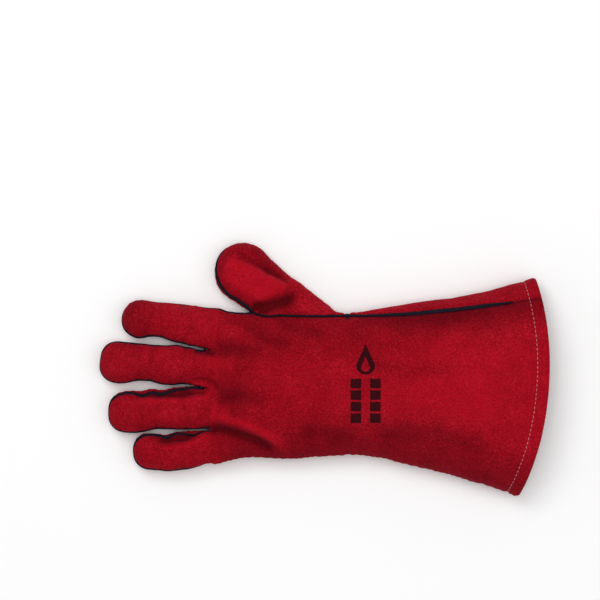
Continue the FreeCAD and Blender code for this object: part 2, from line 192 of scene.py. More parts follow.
def curve(x, stations, values):
    """Values at x on a smooth curve through the stations, level past both ends."""
    slopes = np.gradient(values, stations)
    slopes[0] = slopes[-1] = 0.0
    x = np.clip(x, stations[0], stations[-1])
    index = np.clip(np.searchsorted(stations, x) - 1, 0, len(stations) - 2)
    span = stations[index + 1] - stations[index]
    t = (x - stations[index]) / span
    low, high = values[index], values[index + 1]
    h00 = 2 * t**3 - 3 * t**2 + 1
    h10 = t**3 - 2 * t**2 + t
    h11 = t**3 - t**2
    return h00 * low + h10 * span * slopes[index] + (1 - h00) * high + h11 * span * slopes[index + 1]


def smoothstep(x, low, high):
    t = np.clip((x - low) / (high - low), 0, 1)
    return t * t * (3 - 2 * t)


def band(x, low, full, falling, over):
    """1 from full to falling, going smoothly down to 0 at low and at over."""
    return smoothstep(x, low, full) * (1 - smoothstep(x, falling, over))


def mix(a, b, share):
    return a + (b - a) * share


def smooth_max(a, b, width):
    share = np.clip(0.5 + 0.5 * (a - b) / width, 0, 1)
    return mix(b, a, share) + width * share * (1 - share)


def smooth_min(a, b, width):
    return -smooth_max(-a, -b, width)


# Stations: distance from the base bend, sideways shift, half width.
SHAPES = {
    "index": Digit(
        "index",
        [(-26, 0.0, 16.0), (-4, 1.2, 15.4), (8, 1.6, 14.3), (16, 1.9, 13.6), (25, 1.8, 13.0),
         (36, 0.4, 14.6)],
        power=2.1,
        lift=(-3.0, 1.5),
    ),
    "middle": Digit(
        "middle",
        [(-26, 1.5, 14.5), (0, 2.5, 14.0), (10, 2.4, 14.8), (18, 1.6, 14.4), (27, 2.5, 13.4), (41, 1.5, 14.4),
         (52, 0.1, 16.0)],
        power=2.6,
        lift=(0.5, 0.5),
    ),
    "ring": Digit(
        "ring",
        [(-26, 1.5, 15.0), (1, 2.4, 16.4), (10, 1.3, 15.6), (18, 0.4, 14.9), (27, 0.2, 15.5),
         (36, -1.4, 15.4), (46, -1.7, 15.8)],
        power=2.4,
        lift=(4.5, 0.0),
    ),
    "little": Digit(
        "little",
        [(-26, 3.5, 11.0), (-6, 0.4, 13.6), (8, -0.6, 14.5), (18, -2.2, 14.1), (27.6, -0.9, 14.2)],
        power=2.2,
        lift=(3.5, 1.5),
    ),
    "thumb": Digit("thumb", [(-52, 1.2, 20.6), (-20, 0.8, 20.6), (5, 0.6, 20.8), (26, 0.2, 22.3)], power=2.0),
}

# Where the hand and the cuff end in plan: distance along X, thumb side, little-finger side.
TRUNK = np.array(
    [(-100, 49.5, -76.6), (-81, 45.4, -73.2), (-62, 42.8, -69.6), (-30, 43.4, -70.1), (5, 43.2, -67.8),
     (22, 43.8, -67.5), (48, 48.4, -69.9), (75, 53.0, -76.0), (107, 56.8, -84.2), (130, 61.5, -91.0),
     (152, 67.4, -98.2), (185, 75.0, -106.0)]
)
# The seam up the back on the thumb side: distance along X, sideways place.
THUMB_SEAM = np.array(
    [(-70, 58), (-60, 47.0), (-53, 43.0), (-30, 41.8), (-10, 41.2), (17, 41.6), (44, 42.3), (75, 44.3),
     (107, 47.1), (138, 51.0), (170, 55.8)]
)


# ---------------- the glove's body as a field

# On a finger, the hand and the cuff's mouth: how wide the flanks above and below the side seam are, and how
# high the back stands over it.
FLANK_ABOVE, FLANK_BELOW, HALF_ABOVE = (13.6, 42.0, 66.0), (13.6, 24.0, 30.0), (12.2, 16.5, 28.0)
THUMB_FLANK = 19.5
CUSHION_POWER = 2.1        # 2 would give a round flank, more a squarer one
MOST_HALF = 14.0           # over this half thickness the field isn't stretched further
# The box that is sculpted.
NET_LOW, NET_HIGH = np.array([-180.0, -112.0, -3.0]), np.array([184.0, 104.0, 52.0])


def plan_inset(x, y):
    """How far a point is inside the outline of hand, fingers and cuff, in plan."""
    top = curve(x, TRUNK[:, 0], TRUNK[:, 1])
    bottom = curve(x, TRUNK[:, 0], TRUNK[:, 2])
    sides = smooth_min(top - y, y - bottom, 4.0)
    trunk = smooth_min(sides, x - (KNUCKLE_X + 9.0), 7.0)
    fingers = np.max([SHAPES[name].inset(x, y) for name in FINGERS], axis=0)
    return smooth_max(trunk, fingers, 5.0)


def rounded(inset, height, radius, above, below):
    """A cushion: zero on its skin, negative inside. above and below are its half thicknesses."""
    edge = np.maximum(radius - inset, 0) / radius
    half = np.where(height > 0, above, below)
    rise = np.abs(height) / half
    swell = (edge**CUSHION_POWER + rise**CUSHION_POWER) ** (1 / CUSHION_POWER)
    return (swell - 1) * np.minimum(half, MOST_HALF)


def seam_height(x):
    return mix(SEAM_Z_FINGER, SEAM_Z_HAND, smoothstep(x, -104, -62))


def along_glove(x, sizes):
    """A size that changes from the fingers to the hand and on to the cuff's mouth."""
    finger, hand, mouth = sizes
    return mix(mix(finger, hand, smoothstep(x, -110, -66)), mouth, smoothstep(x, 10, 172))


def hand_field(x, y, z):
    seam = seam_height(x)
    height = z - seam
    radius = np.where(height > 0, along_glove(x, FLANK_ABOVE), along_glove(x, FLANK_BELOW))
    return rounded(plan_inset(x, y), height, radius, along_glove(x, HALF_ABOVE), seam)


def thumb_field(x, y, z):
    thumb = SHAPES["thumb"]
    u, _ = thumb.local(x, y)
    above = mix(11.0, 12.5, smoothstep(u, -20, 25))
    return rounded(thumb.inset(x, y), z - SEAM_Z_THUMB, THUMB_FLANK, above, SEAM_Z_THUMB)


def glove_field(points):
    return smooth_min(hand_field(*points.T), thumb_field(*points.T), 3.0)


def gradient(field, points, reach=0.15):
    slopes = [(field(points + move) - field(points - move)) / (2 * reach) for move in np.eye(3) * reach]
    return np.stack(slopes, axis=1)


def surface_nets(values):
    """One vertex in each grid cell that the skin passes through, and a quad across each crossed edge."""
    rings, crossings = [], []
    for axis in range(3):
        first, second = [slice(None)] * 3, [slice(None)] * 3
        first[axis], second[axis] = slice(0, -1), slice(1, None)
        here, there = values[tuple(first)], values[tuple(second)]
        edges = np.argwhere((here < 0) != (there < 0))
        a, b = here[tuple(edges.T)], there[tuple(edges.T)]
        crossing = edges.astype(float)
        crossing[:, axis] += a / (a - b)
        sides = [other for other in range(3) if other != axis]
        ring = []
        for p, q in ((0, 0), (1, 0), (1, 1), (0, 1)):
            cell = edges.copy()
            cell[:, sides[0]] -= p
            cell[:, sides[1]] -= q
            ring.append(np.ravel_multi_index(tuple(cell.T), values.shape))
        ring = np.stack(ring, axis=1)
        turned = (a > 0) ^ (axis == 1)
        ring[turned] = ring[turned][:, ::-1]
        rings.append(ring)
        crossings.append(np.repeat(crossing, 4, axis=0))
    rings, crossings = np.concatenate(rings), np.concatenate(crossings)
    _, corner = np.unique(rings.ravel(), return_inverse=True)
    count = np.bincount(corner)
    vertices = np.stack([np.bincount(corner, crossings[:, axis]) / count for axis in range(3)], axis=1)
    return vertices * STEP + NET_LOW, corner.reshape(-1, 4)


def sculpt_base():
    """The glove's smooth outer skin as triangles, cut off at the cuff's mouth."""
    axes = [np.arange(NET_LOW[axis], NET_HIGH[axis], STEP) for axis in range(3)]
    grid = np.stack(np.meshgrid(*axes, indexing="ij"), axis=-1)
    values = glove_field(grid.reshape(-1, 3)).reshape(grid.shape[:3])
    values[-1] = 1.0
    vertices, quads = surface_nets(values)
    # draw the vertices onto the skin, less than a grid step at a time
    for _ in range(5):
        slope = gradient(glove_field, vertices)
        steepness = np.maximum((slope**2).sum(axis=1), 0.05)
        move = slope * (glove_field(vertices) / steepness)[:, None]
        length = np.maximum(np.linalg.norm(move, axis=1), 1e-9)
        vertices = vertices - move * np.minimum(1, 0.8 * STEP / length)[:, None]
    triangles = np.concatenate([quads[:, [0, 1, 2]], quads[:, [0, 2, 3]]])
    return cut_mouth(vertices, triangles)


def mouth_distance(points):
    """How far a point is inside the cuff's mouth, in plan."""
    return ARC_RADIUS - np.hypot(points[:, 0] - ARC_CENTRE[0], points[:, 1] - ARC_CENTRE[1])


def cut_mouth(vertices, triangles):
    """Move the vertices next to the mouth's arc onto it, and drop what lies past it."""
    distance = mouth_distance(vertices)
    first, second = directed_edges(triangles).T
    crossed = (distance[first] < 0) != (distance[second] < 0)
    first, second = first[crossed], second[crossed]
    a, b = distance[first], distance[second]
    nearer = np.where(np.abs(a) < np.abs(b), first, second)
    share = (a / (a - b))[:, None]
    crossing = vertices[first] * (1 - share) + vertices[second] * share
    total = np.zeros_like(vertices)
    np.add.at(total, nearer, crossing)
    count = np.bincount(nearer, minlength=len(vertices))
    moved = count > 0
    vertices = vertices.copy()
    vertices[moved] = total[moved] / count[moved, None]
    vertices[moved, :2] = ARC_CENTRE + unit(vertices[moved, :2] - ARC_CENTRE) * ARC_RADIUS
    distance = mouth_distance(vertices)
    distance[moved] = 0
    kept = (distance[triangles].sum(axis=1) > 1e-6) & (distance[triangles].min(axis=1) > -1e-6)
    return compact(vertices, triangles[kept])[:2]


def directed_edges(triangles):
    return np.concatenate([triangles[:, [0, 1]], triangles[:, [1, 2]], triangles[:, [2, 0]]])


def compact(vertices, triangles):
    """Only the vertices that the triangles use, and where each came from."""
    used, corner = np.unique(triangles.ravel(), return_inverse=True)
    return vertices[used], corner.reshape(-1, 3), used


def vertex_normals(vertices, triangles):
    a, b, c = (vertices[triangles[:, corner]] for corner in range(3))
    face = np.cross(b - a, c - a)
    total = np.zeros_like(vertices)
    for corner in range(3):
        np.add.at(total, triangles[:, corner], face)
    return unit(total)


# ---------------- seams and zones


def thumb_seam_side(x, y):
    return curve(x, THUMB_SEAM[:, 0], THUMB_SEAM[:, 1]) - y


def finger_insets(x, y):
    return np.stack([SHAPES[name].inset(x, y) for name in FINGERS])


def seam_lift(points):
    """How far the side seam is raised on each finger, fading out into the hand."""
    x, y, _ = points.T
    nearest = finger_insets(x, y).argmax(axis=0)
    lift = np.zeros(len(points))
    for index, name in enumerate(FINGERS):
        shape = SHAPES[name]
        _, v = shape.local(x, y)
        side = np.clip(v / 12.0, -1, 1)
        raised = shape.lift[0] * np.maximum(side, 0) + shape.lift[1] * np.maximum(-side, 0)
        lift = np.where(nearest == index, raised, lift)
    return lift * (1 - smoothstep(x, -104, -88))


def low_side(points):
    """1 along the little-finger side of hand and cuff, where the seam lies low and its welt is sunk."""
    return smoothstep(-points[:, 1], 30, 45) * smoothstep(points[:, 0], -97, -80)


def back_value(points):
    """Above zero on the back panel: over the side seam, short of the thumb-side seam and off the thumb."""
    x, y, z = points.T
    over = z - seam_height(x) - seam_lift(points) + LOW_SIDE_DROP * low_side(points)
    return np.minimum(np.minimum(over, thumb_seam_side(x, y)), beside_thumb(points))


def thumb_value(points):
    """Above zero on the back of the thumb, whose seam is lower on the side away from the fingers."""
    _, v = SHAPES["thumb"].local(*points[:, :2].T)
    return points[:, 2] - SEAM_Z_THUMB + THUMB_SEAM_TILT * np.clip(v / 18.0, -1, 1)


def beside_thumb(points):
    """Above zero where the hand is the outer shape, below zero where the thumb is."""
    return thumb_field(*points.T) - hand_field(*points.T)


def on_thumb(points):
    return beside_thumb(points) < 0


HAND_SPLIT_X = -35.0       # the hand is stiff here, so the wrist zone's pieces start here
FINGER_SPLIT_X = KNUCKLE_X + 11.0
FINGER_BASE_SEAM_X = node_points("finger_base_welt")[:, 0].mean()
# Half the length of a bend, and the least stiff length between a finger's two bends.
FINGER_BEND, FINGER_TIP_BEND, WRIST_BEND, LEAST_STIFF = 9.0, 10.0, 22.0, 2.0
# The thumb's bends reach from and to these distances past its base hinge, and before and after its tip hinge.
THUMB_BASE_BEND, THUMB_TIP_BEND = (2.0, 15.0), (3.0, 13.0)


def base_bend_span(name):
    """Where a digit's base bend starts and ends, along the digit."""
    return THUMB_BASE_BEND if name == "thumb" else (-FINGER_BEND, FINGER_BEND)


def tip_bend_span(name):
    """Where a digit's tip bend starts and ends, along the digit."""
    bend = SHAPES[name].bend
    if name == "thumb":
        before, after = THUMB_TIP_BEND
    else:
        before = after = min(FINGER_TIP_BEND, bend - FINGER_BEND - LEAST_STIFF)
    return bend - before, bend + after


def zone_names(points):
    """The bending zone of each point: wrist, hand, or a digit's base or tip."""
    x, y, _ = points.T
    zones = np.where(x > HAND_SPLIT_X, "wrist", "hand").astype("<U12")
    nearest = finger_insets(x, y).argmax(axis=0)
    for index, name in enumerate(FINGERS):
        zones[(x < FINGER_SPLIT_X) & (nearest == index)] = f"{name}_base"
    thumb_u, _ = SHAPES["thumb"].local(x, y)
    zones[on_thumb(points) & (thumb_u > -1.0)] = "thumb_base"
    for name in DIGITS:
        u, _ = SHAPES[name].local(x, y)
        split = (base_bend_span(name)[1] + tip_bend_span(name)[0]) / 2
        zones[(zones == f"{name}_base") & (u > split)] = f"{name}_tip"
    return zones


def panel_names(points):
    """The cut leather panel that each point is on."""
    x, y, _ = points.T
    panels = np.where(back_value(points) > 0, "back", "front").astype("<U12")
    on_thumb_side = (x > -57) & (y > 20) & (x < WRIST[0])
    panels[(panels == "front") & on_thumb_side & (thumb_value(points) > 0)] = "thumb_back"
    return panels


# ---------------- lines on the skin


def isolines(vertices, triangles, values, keep):
    """Ordered paths along which values pass through zero, longest first: points and their nearest vertices.

    Only triangles whose corners are all kept are looked at."""
    sign = values > 0
    mixed = triangles[(sign[triangles].sum(axis=1) % 3) != 0]
    mixed = mixed[keep[mixed].all(axis=1)]
    links, spots = {}, {}
    for triangle in mixed:
        ends = []
        for a, b in ((triangle[0], triangle[1]), (triangle[1], triangle[2]), (triangle[2], triangle[0])):
            if sign[a] != sign[b]:
                key = low, high = min(a, b), max(a, b)
                share = values[low] / (values[low] - values[high])
                spots[key] = vertices[low] * (1 - share) + vertices[high] * share, key[int(share > 0.5)]
                ends.append(key)
        for one, other in (ends, ends[::-1]):
            links.setdefault(one, []).append(other)
    paths, seen = [], set()
    for start in sorted(links, key=lambda key: (len(links[key]), key)):
        if start in seen:
            continue
        path, here = [start], start
        seen.add(start)
        while onward := [key for key in links[here] if key not in seen]:
            here = onward[0]
            seen.add(here)
            path.append(here)
        if len(path) > 8 and start in links[here]:
            path.append(start)
        paths.append(tuple(np.array([spots[key][part] for key in path]) for part in (0, 1)))
    return sorted(paths, key=lambda path: -arc_lengths(path[0])[-1])


def arc_lengths(points):
    """How far along a path each of its points lies."""
    return np.concatenate([[0], np.cumsum(np.linalg.norm(np.diff(points, axis=0), axis=1))])


def resample(points, spacing, nearest, smoothing=6):
    """Evenly spaced points along a path, after smoothing, and the vertices nearest to them."""
    points = smoothed(points, smoothing)
    arc = arc_lengths(points)
    count = max(int(arc[-1] / spacing), 2)
    stations = np.linspace(0, arc[-1], count + 1)
    even = np.stack([np.interp(stations, arc, points[:, axis]) for axis in range(3)], axis=1)
    return even, nearest[np.clip(np.searchsorted(arc, stations), 0, len(arc) - 1)]


def smoothed(rows, passes):
    """The rows, each drawn towards its neighbours, with both ends held."""
    rows = rows.copy()
    for _ in range(passes):
        rows[1:-1] = (rows[:-2] + 2 * rows[1:-1] + rows[2:]) / 4
    return rows


def distance_to(points, samples):
    """Distance from each point to the nearest sample, and that sample's number."""
    nearest = np.full(len(points), 1e9)
    number = np.zeros(len(points), int)
    for first in range(0, len(points), 2000):
        block = points[first : first + 2000]
        gap = np.linalg.norm(block[:, None, :] - samples[None, :, :], axis=2)
        nearest[first : first + 2000] = gap.min(axis=1)
        number[first : first + 2000] = gap.argmin(axis=1)
    return nearest, number


# ---------------- modelling the leather

# Folds in the leather, as lines in plan: height (below zero for a valley), width, points.
BACK_FOLDS = [
    # from the ring finger's root down to the little finger's side
    (3.0, 3.9, [(-90, -36), (-68, -41), (-50, -48), (-35, -57), (-24, -65)]),
    (-3.8, 3.6, [(-88, -45), (-68, -50), (-50, -57), (-38, -65)]),
    # the webs between the fingers
    (-3.0, 2.2, [(-101, 14.8), (-92, 14), (-84, 11)]),
    (-2.6, 1.7, [(-110, -17), (-101, -17.4), (-92, -17)]),
    (1.8, 1.8, [(-106, -13), (-92, -12.5), (-87.5, -17), (-92, -21.8), (-105, -21.6)]),
    (-1.5, 1.8, [(-102, -9.5), (-91, -9.8), (-84.6, -13.5), (-84.2, -20)]),
    (-2.6, 2.4, [(-98, -48.5), (-90, -46.5), (-84, -50)]),
    # the sides of the ring and little fingers that turn down next to the finger above them
    (-2.6, 2.3, [(-148, -19.5), (-126, -19.6), (-109, -19.0), (-99, -17.0)]),
    (1.5, 2.2, [(-146, -25), (-126, -25), (-108, -25.5), (-98, -26)]),
    (-3.0, 2.6, [(-130, -56.5), (-122, -54.8), (-110, -53.8), (-96, -49)]),
    (1.4, 2.4, [(-126, -61.5), (-110, -60.5), (-98, -56.5), (-88, -50)]),
    # knuckles
    (1.5, 7.0, [(-92, 5), (-68, 2)]),
    (1.4, 6.5, [(-88, -31), (-72, -33)]),
    (1.2, 7.0, [(-98, 32), (-70, 28), (-48, 26)]),
    (-1.8, 6.0, [(-86, 14), (-66, 15), (-46, 12)]),
    (-1.8, 6.2, [(-84, -23), (-62, -21), (-42, -26)]),
    # slack leather on the back of the hand and the cuff
    (-1.6, 5.5, [(-62, 33), (-42, 22), (-24, 18)]),
    (-1.2, 5.0, [(-36, 38), (-16, 30), (4, 28)]),
    (-1.1, 6.5, [(-20, -48), (4, -50), (26, -56)]),
    (1.1, 8.0, [(30, 32), (70, 22), (120, 26)]),
    (-1.5, 9.0, [(40, -52), (86, -50), (130, -62)]),
    (-1.3, 7.0, [(22, 10), (60, -2), (110, 2)]),
]
THUMB_FOLDS = [
    (-3.8, 3.6, [(-68, 90), (-48, 80), (-26, 67)]),
    (2.8, 5.5, [(-77, 82), (-54, 73), (-27, 64)]),
    (-4.6, 4.8, [(-56, 47), (-41, 49.5), (-29, 53.5), (-20, 61)]),
    (2.4, 4.4, [(-56, 56), (-40, 59), (-28, 64)]),
]
PALM_FOLDS = [
    (-2.4, 3.6, [(-70, 6), (-52, 14), (-36, 30)]),
    (-1.8, 3.2, [(-76, -34), (-56, -30), (-44, -18), (-38, 0)]),
    (-1.4, 3.0, [(-20, 34), (-6, 18), (6, -6)]),
    (-1.4, 5.0, [(44, -40), (90, -44), (140, -60)]),
    (-1.0, 6.0, [(40, 16), (84, 8), (130, 14)]),
]
FOLD_REACH = 90.0          # no part of a fold is felt further than this from its middle
# Creases across a digit: distance from the base bend, depth.
DIGIT_CREASES = {
    "index": [(-2, -0.9), (19, -0.9), (28, -0.6)],
    "middle": [(2, -0.8), (27, -0.9), (37, -0.9)],
    "ring": [(0, -0.8), (21, -0.9), (33, -0.9)],
    "little": [(2, -0.7), (16, -0.9), (24, -0.6)],
    "thumb": [(10, -0.9), (26, -0.7)],
}


VALLEY_DEPTH, ROLL_HEIGHT, PUCKER_HEIGHT = 1.3, 0.45, 0.28  # at a seam, in the edge beside it, and along it


def fold_height(points, folds):
    """The summed height of the folds at each point, fading out at both ends of each fold."""
    plan = points[:, :2]
    total = np.zeros(len(points))
    for height, width, line in folds:
        samples = smooth_line(np.array(line, float), 1.0)
        near = np.abs(plan - samples.mean(axis=0)).max(axis=1) < FOLD_REACH
        gap, number = distance_to(plan[near], samples)
        total[near] += height * bell(gap, width) * band(number / (len(samples) - 1), 0, 0.2, 0.75, 1.0)
    return total


def smooth_line(corners, spacing):
    """Evenly spaced points on a smooth curve through a few points in plan."""
    arc = arc_lengths(corners)
    stations = np.arange(0, arc[-1], spacing)
    return np.stack([curve(stations, arc, corners[:, axis]) for axis in range(2)], axis=1)


def crease_height(points):
    x, y, _ = points.T
    total = np.zeros(len(points))
    nearest = finger_insets(x, y).argmax(axis=0)
    thumb = on_thumb(points)
    for name, creases in DIGIT_CREASES.items():
        u, v = SHAPES[name].local(x, y)
        mine = thumb if name == "thumb" else (nearest == FINGERS.index(name)) & ~thumb
        for place, depth in creases:
            bow = place + 2.0 * np.sin(v * 0.16 + place) + 0.012 * v**2
            total += np.where(mine, depth * bell(u - bow, 2.4), 0)
    return total


def lumps(points, size, seed):
    """Smooth unevenness from about -1 to 1, in lumps of about the given size."""
    offset = Vector((seed * 17.3, seed * 5.1, seed * 9.7))
    return np.array([noise.noise(Vector(point) / size + offset) for point in points]) * 1.6


def shape_leather(vertices, triangles, seams):
    """Press the seams in, raise the folds and make the leather uneven.

    Also gives each point's depth, the painted light of its colour: from -0.6, a painted highlight on a crest,
    to 1, painted shade in a hollow."""
    normals = vertex_normals(vertices, triangles)
    up = smoothstep(normals[:, 2], -0.1, 0.45)
    down = smoothstep(-normals[:, 2], -0.1, 0.45)
    thumb = on_thumb(vertices)
    folds = np.where(thumb, fold_height(vertices, THUMB_FOLDS), fold_height(vertices, BACK_FOLDS)) * up
    folds += fold_height(vertices, PALM_FOLDS) * down
    folds += crease_height(vertices) * (0.25 + 0.45 * up)
    gap, number = distance_to(vertices, np.vstack(seams))
    valley = -VALLEY_DEPTH * bell(gap, 2.1)
    roll = ROLL_HEIGHT * bell(gap - 4.6, 2.0)
    pucker = PUCKER_HEIGHT * np.sin(number * 1.15 + 3 * np.sin(number * 0.11)) * bell(gap - 3.5, 3.5)
    pucker *= np.where(thumb, 0.35, 0.75)
    rough = 0.75 * lumps(vertices, 34.0, 1) + 0.38 * lumps(vertices, 13.0, 2) + 0.16 * lumps(vertices, 5.5, 3)
    height = folds + valley + roll + pucker + rough + hem_height(vertices)
    shaped = vertices + normals * height[:, None]
    shaped[:, 2] = np.maximum(shaped[:, 2], FLOOR_GAP)
    # painted shade in fold valleys and seam grooves, painted highlight on fold ridges, and the painted light
    # of the upper side
    depth = -(folds * 0.78 + valley * 0.8) / 3.0 + painted_flank_light(vertices) * up
    return shaped, np.clip(depth, -0.6, 1)


def painted_flank_light(points):
    """Painted shade down the sides of hand and cuff, and painted highlight along the crown of the cuff and
    thumb.
    """
    x, y, _ = points.T
    inset = plan_inset(x, y)
    # painted shade down the flanks and painted highlight along the cuff's crown
    strength = 0.66 + smoothstep(y, -10, 10) * mix(-0.24, 0.38, smoothstep(x, -10, 80))
    below_seam = smoothstep(thumb_seam_side(x, y), -1.5, 1.5)
    flank = strength * (1 - smoothstep(inset, 4, 46)) * mix(0.12, 1.0, below_seam) - 0.12
    crown = -0.34 * smoothstep(x, 30, 80) * (1 - 0.6 * smoothstep(x, 118, 150)) * smoothstep(inset, 30, 66)
    shade = smoothstep(x, -95, -60) * (flank + crown)
    # painted shade on the fingertips, darker on the index finger
    shade += mix(0.12, 0.42, smoothstep(y, 15, 30)) * (1 - smoothstep(x, -152, -126))
    # painted shade on the sides of the ring and little fingers that turn down beside the finger above them
    for name, side in (("ring", 11.5), ("little", 9.5)):
        u, v = SHAPES[name].local(x, y)
        shade += 0.55 * band(v, side - 2.5, side + 0.5, 17, 19) * band(u, -8, 2, 22, 34)
    # painted highlight along the middle of the thumb, and painted shade at its edges and near its root on the
    # side towards the fingers
    thumb = SHAPES["thumb"]
    u, v = thumb.local(x, y)
    thumb_shade = mix(0.25, -0.80, smoothstep(thumb.inset(x, y), 3, 15)) * smoothstep(u, -8, 12)
    thumb_shade += 0.75 * smoothstep(-v, 6, 18) * (1 - smoothstep(u, -6, 16))
    return np.where(on_thumb(points), thumb_shade, shade)


def hem_height(points):
    """The turned hem: double thickness, a groove at its stitches and a rolled edge at the mouth."""
    inside = mouth_distance(points)
    double = 0.5 * (1 - smoothstep(inside, HEM_DEPTH - 1.5, HEM_DEPTH + 1.5))
    groove = -0.55 * bell(inside - HEM_DEPTH, 1.3)
    edge = -1.3 * np.clip(1 - inside / 2.6, 0, 1) ** 2
    return double + groove + edge


# ---------------- building Blender meshes


def add_to_scene(name, data):
    made = bpy.data.objects.new(name, data)
    bpy.context.scene.collection.objects.link(made)
    return made


def new_object(name, vertices, faces, normals=None, depth=None):
    """A smooth mesh that carries where each vertex lies at rest and, if given, its depth: the painted shade
    and painted highlight of its colour.
    """
    mesh = bpy.data.meshes.new(name)
    mesh.from_pydata((vertices * MM).tolist(), [], faces)
    mesh.update()
    mesh.polygons.foreach_set("use_smooth", np.ones(len(mesh.polygons), bool))
    rest = mesh.attributes.new("rest", "FLOAT_VECTOR", "POINT")
    rest.data.foreach_set("vector", (vertices * MM).ravel().astype(np.float32))
    # depth holds the painted shade and painted highlight
    if depth is not None:
        attribute = mesh.attributes.new("depth", "FLOAT", "POINT")
        attribute.data.foreach_set("value", np.asarray(depth, np.float32))
    if normals is not None:
        mesh.normals_split_custom_set(normals)
    return add_to_scene(name, mesh)


def border_edges(triangles):
    """The directed edges that only one triangle has."""
    edges = directed_edges(triangles)
    size = int(edges.max()) + 1
    forward = edges[:, 0] * size + edges[:, 1]
    backward = edges[:, 1] * size + edges[:, 0]
    return edges[~np.isin(forward, backward)]


def thickness_share(points, normals):
    """Less than 1 where the glove is too thin for its layers, as in the webs between the fingers."""
    room = np.zeros(len(points))
    for depth in (1.5, 3.0, 4.5, 6.0):
        room = np.maximum(room, -glove_field(points - normals * depth))
    return np.clip(room / 3.0, 0.25, 1.0)


def shell_object(name, skin, chosen, outer, inner, painted_light_share=None):
    """A closed shell between two depths under the skin, over the chosen triangles.

    Its normals are the whole skin's, so that pieces which meet along a border look like one."""
    vertices, triangles, used = compact(skin["points"], skin["triangles"][chosen])
    normals = skin["normals"][used]
    count = len(vertices)
    share = skin["share"][used][:, None]
    outside = vertices - normals * outer * share
    inside = vertices - normals * inner * share
    inside[:, 2] = np.maximum(inside[:, 2], FLOOR_GAP + 0.6 * (inner - outer))
    rim = border_edges(triangles)
    rim_quads = np.stack([rim[:, 1], rim[:, 0], rim[:, 0] + count, rim[:, 1] + count], axis=1)
    faces = [*triangles.tolist(), *(triangles[:, ::-1] + count).tolist(), *rim_quads.tolist()]
    points = np.vstack([outside, inside])
    across = points[rim_quads[:, 1]] - points[rim_quads[:, 0]]
    through = points[rim_quads[:, 3]] - points[rim_quads[:, 0]]
    rim_normals = np.repeat(unit(np.cross(across, through)), 4, axis=0)
    skin_normals = normals[triangles.ravel()], -normals[triangles[:, ::-1].ravel()]
    corner_normals = np.vstack([*skin_normals, rim_normals])
    # the painted shade and highlight, at the given share
    depth = None if painted_light_share is None else np.tile(skin["depth"][used] * painted_light_share, 2)
    return new_object(name, points, faces, corner_normals.tolist(), depth)


def tube_rings(path, across, outward, half_width, half_height, sides):
    """Rings of vertices round a path, one after another."""
    angle = np.arange(sides) / sides * 2 * math.pi
    wide = np.cos(angle)[None, :, None] * across[:, None, :] * half_width[:, None, None]
    high = np.sin(angle)[None, :, None] * outward[:, None, :] * half_height[:, None, None]
    return (path[:, None, :] + wide + high).reshape(-1, 3)


def tube_faces(stations, sides, start=0):
    """The quads between such rings, from the vertex numbered start."""
    faces = []
    for ring in range(start, start + (stations - 1) * sides, sides):
        for side in range(sides):
            a, b = ring + side, ring + (side + 1) % sides
            faces.append((a, a + sides, b + sides, b))
    return faces


def tube_object(name, path, outward, half_width, half_height, sides=10):
    """A closed bead along a path, with a half width and height at each point and ends drawn to a point.

    Its height is measured outward from the skin."""
    tangent = unit(np.gradient(path, axis=0))
    outward = unit(outward - tangent * (outward * tangent).sum(axis=1)[:, None])
    vertices = tube_rings(path, np.cross(tangent, outward), outward, half_width, half_height, sides)
    low_end = path[0] - tangent[0] * half_width[0] * 0.6
    high_end = path[-1] + tangent[-1] * half_width[-1] * 0.6
    first = len(vertices)
    top = first - sides
    faces = tube_faces(len(path), sides)
    for side in range(sides):
        following = (side + 1) % sides
        faces.append((first, side, following))
        faces.append((first + 1, top + following, top + side))
    return new_object(name, np.vstack([vertices, low_end, high_end]), faces)


# ---------------- materials

RED_SHADES = [
    (0.39, (0.150, 0.0006, 0.0045)), (0.50, (0.290, 0.0019, 0.0085)), (0.61, (0.480, 0.0085, 0.0225))
]
# The suede's colour under painted shade in hollows and under painted highlight on crests, and the printed
# ink.
RED_PAINTED_SHADE, RED_PAINTED_HIGHLIGHT, INK = (0.030, 0.0003, 0.0014), (0.600, 0.0045, 0.0190), (0.018, 0.0025, 0.0045)


class Value:
    """A number or colour that a finish's nodes work out at each point of the surface."""

    def __init__(self, finish, socket):
        self.finish = finish
        self.socket = socket

    def math(self, operation, other=None, clamp=False):
        inputs = {0: self} if other is None else {0: self, 1: other}
        return self.finish.node("Math", "Value", inputs, operation=operation, use_clamp=clamp)

    __add__ = partialmethod(math, "ADD")
    __sub__ = partialmethod(math, "SUBTRACT")
    __mul__ = partialmethod(math, "MULTIPLY")
    __truediv__ = partialmethod(math, "DIVIDE")
    __gt__ = partialmethod(math, "GREATER_THAN")
    least = partialmethod(math, "MINIMUM")
    most = partialmethod(math, "MAXIMUM")


